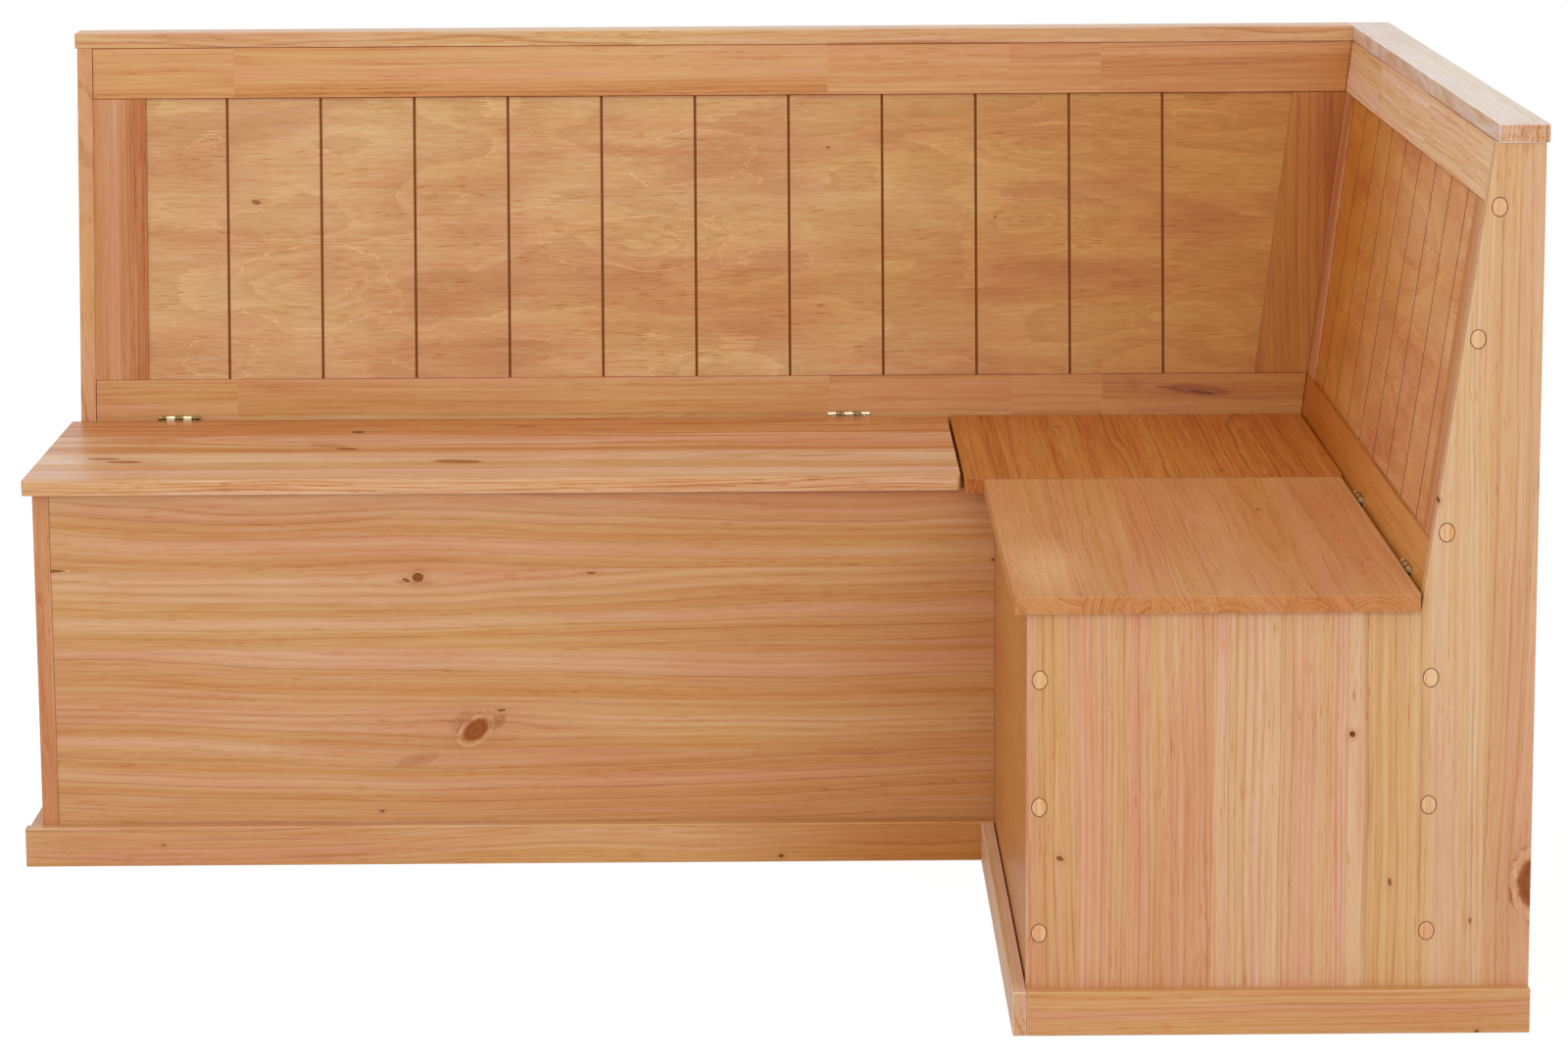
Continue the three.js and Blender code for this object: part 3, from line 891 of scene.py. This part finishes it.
def build_end_panels():
    straight = dict(
        heart_distance=0.16, heart_angle=1.25, angle_spread=0.9,
        ring_width=0.0078, wander=0.035, ring_strength=0.7, sharpness=0.35,
        streak_strength=0.95, strand_strength=0.5, band_strength=0.5,
    )
    right = pine(
        "right_end_pine", "zxy", (0.5475, RIGHT_END_FACE, CHEST_MIDDLE), shades(214, 168, 125),
        knots=[
            (101, 67, 2.9, 1.1, 0, 1.0), (140, 68, 1.2, 6.0, 0, 0.35),
            (-23, -219, 2.6, 1.6, 60, 0.72), (-49, 106, 2.1, 2.2, 8, 0.6),
            (-89, 186, 2.2, 1.8, 0, 0.42), (-51, 249, 17.5, 1.6, 180, 0.7),
            (352, 251, 11, 2.3, 0, 0.3), (333, 147, 1.6, 1.4, 0, 1.0),
        ],
        staves=([
            (-252, -0.1, -0.13), (-203.5, 0.26, -0.08), (-131.5, 0.18, -0.09), (-70.5, -0.14, 0.03),
            (-1.5, 0.26, 0.0), (61.5, -0.16, -0.01), (118.5, -0.1, 0.06), (195.5, 0.12, -0.05),
        ], 246),
        **straight, seed=11.0,
    )
    dress("right_end_panel", right, BOARD_EASE)
    left = pine(
        "left_end_pine", "zyx", (LEFT_END_FACE, 0.338, CHEST_MIDDLE), shades(205, 148, 98),
        knots=[(40, 30, 2.6, 1.2, 0, 0.9), (-70, -150, 5, 1.5, 0, 0.6)],
        staves=([
            (-250, 0.1, 0.0), (-176, -0.12, 0.02), (-110, 0.2, -0.02), (-38, -0.05, 0.0),
            (30, 0.22, 0.01), (98, -0.16, 0.02), (170, 0.08, -0.02),
        ], 250),
        **straight, seed=12.0,
    )
    dress("left_end_panel", left, BOARD_EASE)


def build_short_chest():
    # the short front's dark orange is partly its own tone, partly painted shade under the lid,
    # orange like bounced light
    front = pine(
        "short_front_pine", "yzx", (SHORT_FRONT_FACE, -0.25, CHEST_MIDDLE), shades(194, 130, 64),
        staves=([(-200, 0.0, 0.0), (-60, 0.1, 0.0), (70, -0.05, 0.01)], 226),
        seed=15.0, heart_angle=0.6, angle_spread=1.2, ring_strength=0.5,
    )
    dress("short_front_panel", front, BOARD_EASE)
    # the inner plinth's pale tone is partly its own, partly painted light that the low plinth
    # catches
    inner = pine(
        "inner_plinth_pine", "yzx", (SHORT_PLINTH_FACE, -0.25, PLINTH_MIDDLE),
        shades(214, 173, 138), seed=16.0,
    )
    dress("short_front_plinth", inner, PLINTH_EASE)
    outer = pine(
        "right_plinth_pine", "xzy", (0.54, -0.5895, PLINTH_MIDDLE), shades(205, 150, 98),
        knots=[(200, -20, 1.4, 1.6, 0, 0.9)],
        seed=17.0, heart_angle=0.7, heart_distance=0.1, streak_strength=1.2,
    )
    dress("short_end_plinth", outer, PLINTH_EASE)


def build_seats():
    soft = dict(
        ring_strength=0.7, band_strength=0.6, ring_width=0.006, streak_strength=2.4,
        edge_tone=0.45,
    # the lids' eased edges are paler: wear with a painted highlight
    )
    lid = pine(
        "long_lid_pine", "xyz", (-0.26, 0.28, SEAT_TOP), shades(223, 181, 141),
        knots=[
            (-455, -64, 6.5, 3.4, 6, 0.6), (-428, -86, 7.0, 3.4, 4, 0.66),
            (-178, 104, 8.5, 0.9, 0, 1.0), (-206, 14, 20.0, 1.6, 24, 0.26),
            (-182, -8, 9.0, 1.8, 20, 0.6), (-48, -95, 13.0, 2.7, 8, 0.5),
            (18, 136, 6.0, 3.0, 0, 0.5),
        ],
        staves=([
            (-204, 0.1, -0.07), (-202.6, 0.04, -0.03), (-90, 0.04, 0.02),
            (-33, -0.06, -0.34), (85, 0.04, -0.5),
        ], 194),
        **dict(
            soft, seed=21.0, angle_spread=1.6, band_strength=0.9, strand_strength=0.85,
            streak_strength=1.6, ring_width=0.008,
        ),
    )
    dress("long_lid", lid, LID_EASE)
    curled = dict(
        soft, heart_distance=0.045, angle_spread=6.3, ring_width=0.0046, wander=0.02,
        streak_strength=1.0,
    )
    short = pine(
        "short_lid_pine", "yxz", (0.48, -0.265, SEAT_TOP), shades(203, 142, 86),
        knots=[(127, 86, 3.0, 1.5, 0, 0.85)],
        # painted sheen at the lid's front-left corner, as a reflection of the white surroundings
        pale=[(-165, -158, 200, 54, 0.9)],
        staves=([
            (-198, 0.08, 0.03), (-132, -0.05, 0.0), (-66, 0.12, -0.01),
            (0, 0.04, 0.01), (66, 0.1, -0.01), (132, 0.02, -0.02),
        ], 199.5),
        **curled, seed=23.0,
    )
    dress("short_lid", short, LID_EASE)
    # the corner seat's deep orange is partly its own tone, partly painted shade of the inner corner
    corner = pine(
        "corner_seat_pine", "yxz", (0.47, 0.265, SEAT_TOP), shades(187, 114, 45),
        knots=[
            (122, -86, 4.5, 1.3, 60, 0.7), (-168, 81, 3.0, 1.2, 0, 0.95),
            (-12, 113, 6.0, 1.5, 0, 0.4),
        ],
        staves=([
            (-209, 0.05, 0.02), (-130, -0.08, 0.07), (-62, 0.1, -0.03),
            (5, -0.05, 0.05), (70, 0.15, -0.04), (140, 0.1, -0.05),
        ], 212),
        corner_shade=("y", 0.2, 0.5, 0.3),
        **dict(
            curled, seed=25.0, band_strength=1.3, strand_strength=1.0,
            streak_strength=2.4,
        ),
    )
    dress("corner_seat", corner, LID_EASE)


def front_depth(node, centre, lean, axis):
    """How far behind the centre a leaning sheet's front face is."""
    turn = Euler(lean).to_matrix()
    mesh = frame["nodes"][node].data
    return min((turn @ (vertex.co - Vector(centre)))[AXES[axis]] for vertex in mesh.vertices)


def build_backrests():
    legs = {
        "long": {
            "level": "xzy", "upright": "zxy",
            "centre": (0.0, 0.5, BACK_MIDDLE), "lean": (LEAN, 0.0, 0.0),
            "top": shades(204, 147, 89), "bottom": shades(202, 150, 92),
            # the corner stile's deep orange is partly its own tone, partly painted shade of the
            # inner corner
            "outer": shades(191, 126, 77), "corner": shades(176, 109, 30),
            "panel": shades(211, 167, 115), "cap": shades(213, 166, 116),
            "corner_shade_top": ("x", 0.2, 0.75, 0.45), "corner_shade": ("x", -0.2, 0.65, 0.75),
            "stain": srgb(132, 76, 36), "stain_and_shade_depths": (0.25, 0.7), "bottom_knots": [
                (564, -184, 1.5, 11.0, 6, 1.0), (530, -179, 1.2, 22.0, 8, 0.66),
                (560, -181, 8.0, 6.5, 5, 0.4), (480, -172, 10.0, 1.8, 60, 0.2),
            ],
            "joints": ([
                (-760, 0.1, -0.02), (-594, 0.0, 0.0), (115, 0.06, -0.01), (330, 0.08, -0.04),
                (442, -0.05, -0.09),
            ], 790),
        },
        "short": {
            "level": "yzx", "upright": "zyx",
            "centre": (0.7, 0.0, BACK_MIDDLE), "lean": (0.0, -LEAN, 0.0),
            # the short leg's own tone, paler at its top rail and cap with a painted sheen, and dark
            # orange at its bottom rail with painted shade
            "top": shades(234, 195, 153), "bottom": shades(206, 140, 68),
            "outer": shades(204, 147, 105), "corner": shades(196, 130, 80),
            "panel": shades(224, 167, 117), "cap": shades(225, 200, 180),
            "corner_shade_top": ("y", -0.2, 0.5, 0.2), "corner_shade": ("y", -0.35, 0.4, 1.0),
            "stain": srgb(112, 60, 26), "stain_and_shade_depths": (0.02, 0.12), "bottom_knots": [],
            "joints": ([(-560, 0.0, 0.0), (-120, 0.1, -0.01), (260, 0.0, 0.0)], 580),
        },
    }
    swirls = {
        "long": [
            (-46, 100, 74, 33, 0.34), (-114, 0, 112, 30, 0.3), (-28, 4, 28, 37, 0.2),
            (358, 19, 76, 35, 0.3), (416, 6, 17, 24, 0.2), (374, 113, 92, 27, 0.3),
            (-500, -52, 100, 50, 0.3), (-610, -137, 44, 22, 0.16), (560, 139, 44, 17, 0.1),
            (-20, -156, 70, 26, 0.14), (560, -92, 80, 26, 0.16),
        ],
        "short": [(-200, -60, 120, 90, 0.3), (240, 20, 120, 60, 0.3)],
    }
    flecks = {
        "long": [
            (118, 112, 1.2, 1.2, 0, 1.0), (-566, 51, 3.4, 2.0, 10, 0.5),
            (318, 28, 1.1, 1.4, 0, 0.8),
        ],
        "short": [(-260, 90, 1.4, 1.6, 0, 0.6)],
    }
    for index, (leg, board) in enumerate(legs.items()):
        seed = 31.0 + 10 * index
        level, centre, lean = board["level"], board["centre"], board["lean"]
        plain = dict(
            lean=lean, ring_strength=0.45, heart_angle=0.7, wander=0.03,
            # the frames' eased edges are darkened as painted shade in their joints
            streak_strength=1.3, edge_tone=-0.85, band_strength=1.1,
            strand_strength=0.6, ring_width=0.009,
        )
        for part, shift in (("top", 0.0), ("bottom", 0.4)):
            rail = pine(
                f"{leg}_{part}_rail_pine", level, centre, board[part],
                board["bottom_knots"] if part == "bottom" else (), lengths=board["joints"],
                corner_shade=board["corner_shade_top" if part == "top" else "corner_shade"],
                **plain, seed=seed + shift,
            )
            dress(f"{leg}_{part}_rail", rail, FRAME_EASE)
        for part, shift in (("outer", 1.0), ("corner", 1.5)):
            stile = pine(
                f"{leg}_{part}_stile_pine", board["upright"], centre, board[part],
                **dict(
                    plain, seed=seed + shift, heart_angle=1.3, ring_strength=0.6,
                    streak_strength=1.2, strand_strength=1.1, band_strength=1.6,
                ),
            )
            dress(f"{leg}_{part}_stile", stile, FRAME_EASE)
        node = f"{leg}_back_panel"
        sheet = veneer(
            f"{leg}_back_veneer", level, centre, seed, board["panel"], flecks[leg], swirls[leg],
            lean, front_depth(node, centre, lean, level[2]), board["corner_shade"], board["stain"],
            board["stain_and_shade_depths"],
        )
        dress(node, sheet, SHEET_EASE)
        cap = pine(
            f"{leg}_cap_pine", level[0] + level[2] + level[1], (0.0, 0.56, CAP_TOP),
            board["cap"], gloss=0.6, seed=seed + 3, heart_angle=1.2, ring_width=0.004,
            wander=0.03, streak_strength=1.6, end_tone=-0.36,
        )
        dress(f"{leg}_cap", cap, BOARD_EASE)


def build_inside():
    plain = pine("inside_pine_long", "xzy", (0.0, 0.3, CHEST_MIDDLE), seed=51.0)
    plain_short = pine("inside_pine_short", "yzx", (0.5, 0.0, CHEST_MIDDLE), seed=52.0)
    for leg, material, partition in (("long", plain, plain_short), ("short", plain_short, plain)):
        for part in ("rear_board", "bearer"):
            dress(f"{leg}_{part}", material, BOARD_EASE)
        dress(f"{leg}_partition", partition, BOARD_EASE)
        floor = veneer(
            f"{leg}_floor_veneer", "xyz", (0.0, 0.0, FLOOR_TOP), 53.0, shades(214, 164, 112),
        )
        dress(f"{leg}_chest_floor", floor, FRAME_EASE)
    batten = pine("batten_pine", "yxz", (0.0, 0.3, BATTEN_MIDDLE), seed=55.0)
    batten_short = pine("batten_pine_short", "xyz", (0.5, 0.0, BATTEN_MIDDLE), seed=56.0)
    for number in (1, 2):
        dress(f"long_lid_batten_{number}", batten, BOARD_EASE)
        dress(f"short_lid_batten_{number}", batten_short, BOARD_EASE)


def model_plug():
    """An oval plug modelled once, facing up from the board's face: the joint round it, which takes
    the painted gap shade, then a low dome with a soft edge."""
    half_width, half_height = PLUG_WIDTH / 2, PLUG_HEIGHT / 2
    bpy.ops.object.select_all(action="DESELECT")
    bpy.ops.mesh.primitive_cylinder_add(
        vertices=44, radius=1.0, depth=PLUG_DEPTH, location=(0.0, 0.0, JOINT_RISE - PLUG_DEPTH / 2),
    )
    plug = bpy.context.object
    bpy.ops.object.transform_apply(location=True)
    mode("EDIT")
    bpy.ops.mesh.select_all(action="SELECT")
    bpy.ops.transform.resize(value=(half_width + PLUG_JOINT, half_height + PLUG_JOINT, 1.0))
    mode("OBJECT")
    for face in plug.data.polygons:
        face.select = face.normal.z > SQUARE_ON
    for edge in plug.data.edges:
        edge.select = False
    for vertex in plug.data.vertices:
        vertex.select = vertex.co.z > 0.0
    mode("EDIT")
    bpy.ops.mesh.select_mode(type="FACE")
    bpy.ops.mesh.inset(thickness=PLUG_JOINT, depth=0.0)
    bpy.ops.mesh.extrude_region_move(TRANSFORM_OT_translate={"value": (0.0, 0.0, PLUG_RISE)})
    for width, rise in PLUG_DOME:
        bpy.ops.mesh.inset(thickness=width * MM, depth=rise * MM)
    mode("OBJECT")
    bpy.ops.object.shade_smooth_by_angle(angle=SMOOTH_ANGLE)
    # the joint's ring takes the second material, the painted gap shade
    for face in plug.data.polygons:
        across, up, _ = face.center
        far = math.hypot(across / half_width, up / half_height)
        face.material_index = int(far > 1.0 and face.normal.z > SQUARE_ON)
    return plug


def build_plugs():
    """Nine oval plugs on each end panel, over the screws into the rails and chest boards."""
    model = model_plug()
    stain = plug_gap_shade()
    calm = dict(colours=shades(226, 180, 132), ring_strength=0.3, heart_angle=1.3)
    wood = pine("plug_pine", "zxy", (0.55, RIGHT_END_FACE, CHEST_MIDDLE), seed=61.0, **calm)
    left_wood = pine("left_plug_pine", "zyx", (LEFT_END_FACE, 0.3, CHEST_MIDDLE), seed=62.0, **calm)
    for number in range(1, 10):
        node = f"plug_{number}"
        low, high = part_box(node)
        across, up = (low[0] + high[0]) / 2, (low[2] + high[2]) / 2
        place = facing((across, RIGHT_END_FACE, up), (0.0, -1.0, 0.0))
        place_copy(
            model, f"{node}_finished", place, [wood, stain], body_of(node), slot_of(node), node,
        )
        out = WALL_CORNER.x - across
        place = facing((LEFT_END_FACE, WALL_CORNER.y - out, up), (-1.0, 0.0, 0.0))
        place_copy(
            model, f"left_plug_{number}", place, [left_wood, stain], "bench_frame", slot_of(node),
        )
    bpy.data.objects.remove(model)


def model_screw(radius):
    """A cross-headed screw's head, modelled once, facing up and standing a little proud."""
    bpy.ops.object.select_all(action="DESELECT")
    bpy.ops.mesh.primitive_cylinder_add(
        vertices=32, radius=radius, depth=SCREW_DEPTH,
        location=(0.0, 0.0, SCREW_RISE - SCREW_DEPTH / 2),
    )
    head = bpy.context.object
    bpy.ops.object.transform_apply(location=True)
    apply_modifier(head, "BEVEL", width=0.3 * MM, segments=3)
    for turn in (0.0, math.pi / 2):
        bpy.ops.mesh.primitive_cube_add(
            size=1.0, location=(0.0, 0.0, SCREW_RISE), rotation=(0.0, 0.0, turn),
        )
        cutter = bpy.context.object
        cutter.scale = (radius * 1.1, radius * 0.22, RECESS_DEPTH * 2)
        only(head)
        apply_modifier(head, "BOOLEAN", object=cutter)
        bpy.data.objects.remove(cutter)
    bpy.ops.object.shade_smooth_by_angle(angle=SMOOTH_ANGLE)
    return head


def on_leg(leg, along, out, up, way):
    """A part's place by its distances along a leg and out from the wall, both from the wall
    corner. It faces away from the wall, or back to it where way is negative."""
    if leg == "long":
        return facing(WALL_CORNER + Vector((-along, -out, up)), (0.0, -way, 0.0))
    return facing(WALL_CORNER + Vector((-out, -along, up)), (-way, 0.0, 0.0))


def build_hinges():
    """Butt hinges with brass leaves, three small screws in each. The two leaves of a hinge take a
    bright and a dull brass, as painted highlight and painted shade on the knuckles.
    """
    bright = plated_metal("hinge_brass_painted_highlight", srgb(236, 226, 200), srgb(206, 186, 140))
    dull = plated_metal("hinge_brass_painted_shade", srgb(150, 128, 88), srgb(104, 82, 50))
    model = model_screw(HINGE_SCREW)
    for leg in ("long", "short"):
        leaves = (
            ("fixed", "bench_frame", FIXED_LEAF_OUT, 1.0),
            ("lid", f"{leg}_lid", LID_LEAF_OUT, -1.0),
        )
        for number in (1, 2):
            name = f"{leg}_hinge_{number}"
            # bright and dull brass on the two leaves: painted highlight and painted shade
            wear_and_painted_light = {"fixed_leaf": bright, "lid_leaf": dull, "pin": bright}
            if name == "long_hinge_2":
                wear_and_painted_light.update(fixed_leaf=dull, lid_leaf=bright)
            for part, metal in wear_and_painted_light.items():
                dress(f"{name}_{part}", metal, LEAF_EASE)
            low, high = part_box(f"{name}_pin")
            middle = (WALL_CORNER - (Vector(low) + Vector(high)) / 2)[0 if leg == "long" else 1]
            for index, share in enumerate(HINGE_SCREW_SHARES):
                along = middle + share * HINGE_WIDTH
                for part, body, out, way in leaves:
                    spot = on_leg(leg, along, out, HINGE_SCREW_UP, way)
                    screw = f"{name}_{part}_screw_{index + 1}"
                    place_copy(model, screw, spot, [bright], body, "hinge_metal")
    bpy.data.objects.remove(model)


def build_batten_screws():
    """Three larger screws up through each batten into its lid."""
    steel = plated_metal("screw_steel", srgb(196, 192, 184), srgb(120, 114, 104))
    model = model_screw(BATTEN_SCREW)
    for leg in ("long", "short"):
        for number in (1, 2):
            low, high = (Vector(corner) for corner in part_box(f"{leg}_lid_batten_{number}"))
            for index, share in enumerate(BATTEN_SCREW_SHARES):
                place = low.lerp(high, 0.5)
                long_way = 1 if leg == "long" else 0
                place[long_way] = low[long_way] + share * (high[long_way] - low[long_way])
                place.z = low.z
                spot = facing(place, (0.0, 0.0, -1.0), (1.0, 0.0, 0.0))
                screw = f"{leg}_batten_{number}_screw_{index + 1}"
                place_copy(model, screw, spot, [steel], f"{leg}_lid", "hinge_metal")
    bpy.data.objects.remove(model)


# ---------------------------------------------------------------- studio

def build_camera():
    """The photograph's camera, with a small lens shift in place of its large one."""
    data = bpy.data.cameras.new("camera")
    data.sensor_width = 36
    data.lens = LENS
    data.shift_y = LENS_SHIFT
    data.clip_end = 60
    camera = new_object("camera", data)
    yaw, pitch, roll = (math.radians(value) for value in CAMERA_TURN)
    turn = (
        Matrix.Rotation(-yaw, 4, "Z")
        @ Matrix.Rotation(math.pi / 2 + pitch, 4, "X")
        @ Matrix.Rotation(roll, 4, "Z")
    )
    camera.matrix_world = Matrix.Translation(CAMERA_PLACE) @ turn
    bpy.context.scene.camera = camera


def soft_lamp(name, place, target, size, power):
    data = bpy.data.lights.new(name, "AREA")
    data.shape = "RECTANGLE"
    data.size, data.size_y = size
    data.energy = power
    aim = (Vector(target) - Vector(place)).to_track_quat("-Z", "Y")
    lamp = new_object(name, data)
    lamp.matrix_world = Matrix.Translation(place) @ aim.to_matrix().to_4x4()


def build_lights():
    """Three softboxes, and a white world that lights the bench less than it shows."""
    soft_lamp("front_softbox", (0.9, -5.2, 2.2), (0.0, 0.0, 0.45), (3.4, 2.4), 57)
    soft_lamp("left_softbox", (-2.8, -4.6, 2.2), (0.0, 0.0, 0.45), (2.2, 2.2), 44)
    soft_lamp("overhead_softbox", (-0.8, -1.2, 4.0), (0.0, 0.0, 0.3), (3.4, 3.0), 36)
    world = bpy.data.worlds.new("studio")
    world.use_nodes = True
    Shader.tree = world.node_tree
    ray = outputs_of(put("LightPath"))
    seen = calc("MAXIMUM", ray["Is Camera Ray"], ray["Is Glossy Ray"])
    seen = calc("MAXIMUM", seen, ray["Is Transmission Ray"])
    background = world.node_tree.nodes["Background"]
    feed(WHITE, background.inputs["Color"])
    feed(seen * 0.42 + 0.58, background.inputs["Strength"])
    bpy.context.scene.world = world


def build_floor():
    """A pale floor that shows white where the bench doesn't shade it."""
    bpy.ops.object.select_all(action="DESELECT")
    bpy.ops.mesh.primitive_plane_add(size=FLOOR_SIZE, location=(0.0, 0.0, FLOOR_GAP))
    floor = bpy.context.object
    floor.name = "studio_floor"
    material = new_material("floor_paint", (0.9, 0.9, 0.9, 1.0))
    matte = value_of("BsdfDiffuse", {"Color": (0.2, 0.2, 0.2, 1.0)})
    glow = value_of("Emission", {"Color": WHITE, "Strength": 0.9})
    seen = value_of("AddShader", {0: matte, 1: glow})
    bounced = value_of("BsdfDiffuse", {"Color": (0.85, 0.85, 0.85, 1.0)})
    choice = value_of("MixShader", {
        0: value_of("LightPath", output="Is Camera Ray"), 1: bounced, 2: seen,
    })
    feed(choice, material.node_tree.nodes["Material Output"].inputs["Surface"])
    floor.data.materials.append(material)


build_camera()
build_long_chest()
build_end_panels()
build_short_chest()
build_seats()
build_backrests()
build_inside()
build_plugs()
build_hinges()
build_batten_screws()
build_floor()
build_lights()
bpy.context.scene.view_settings.view_transform = "Standard"
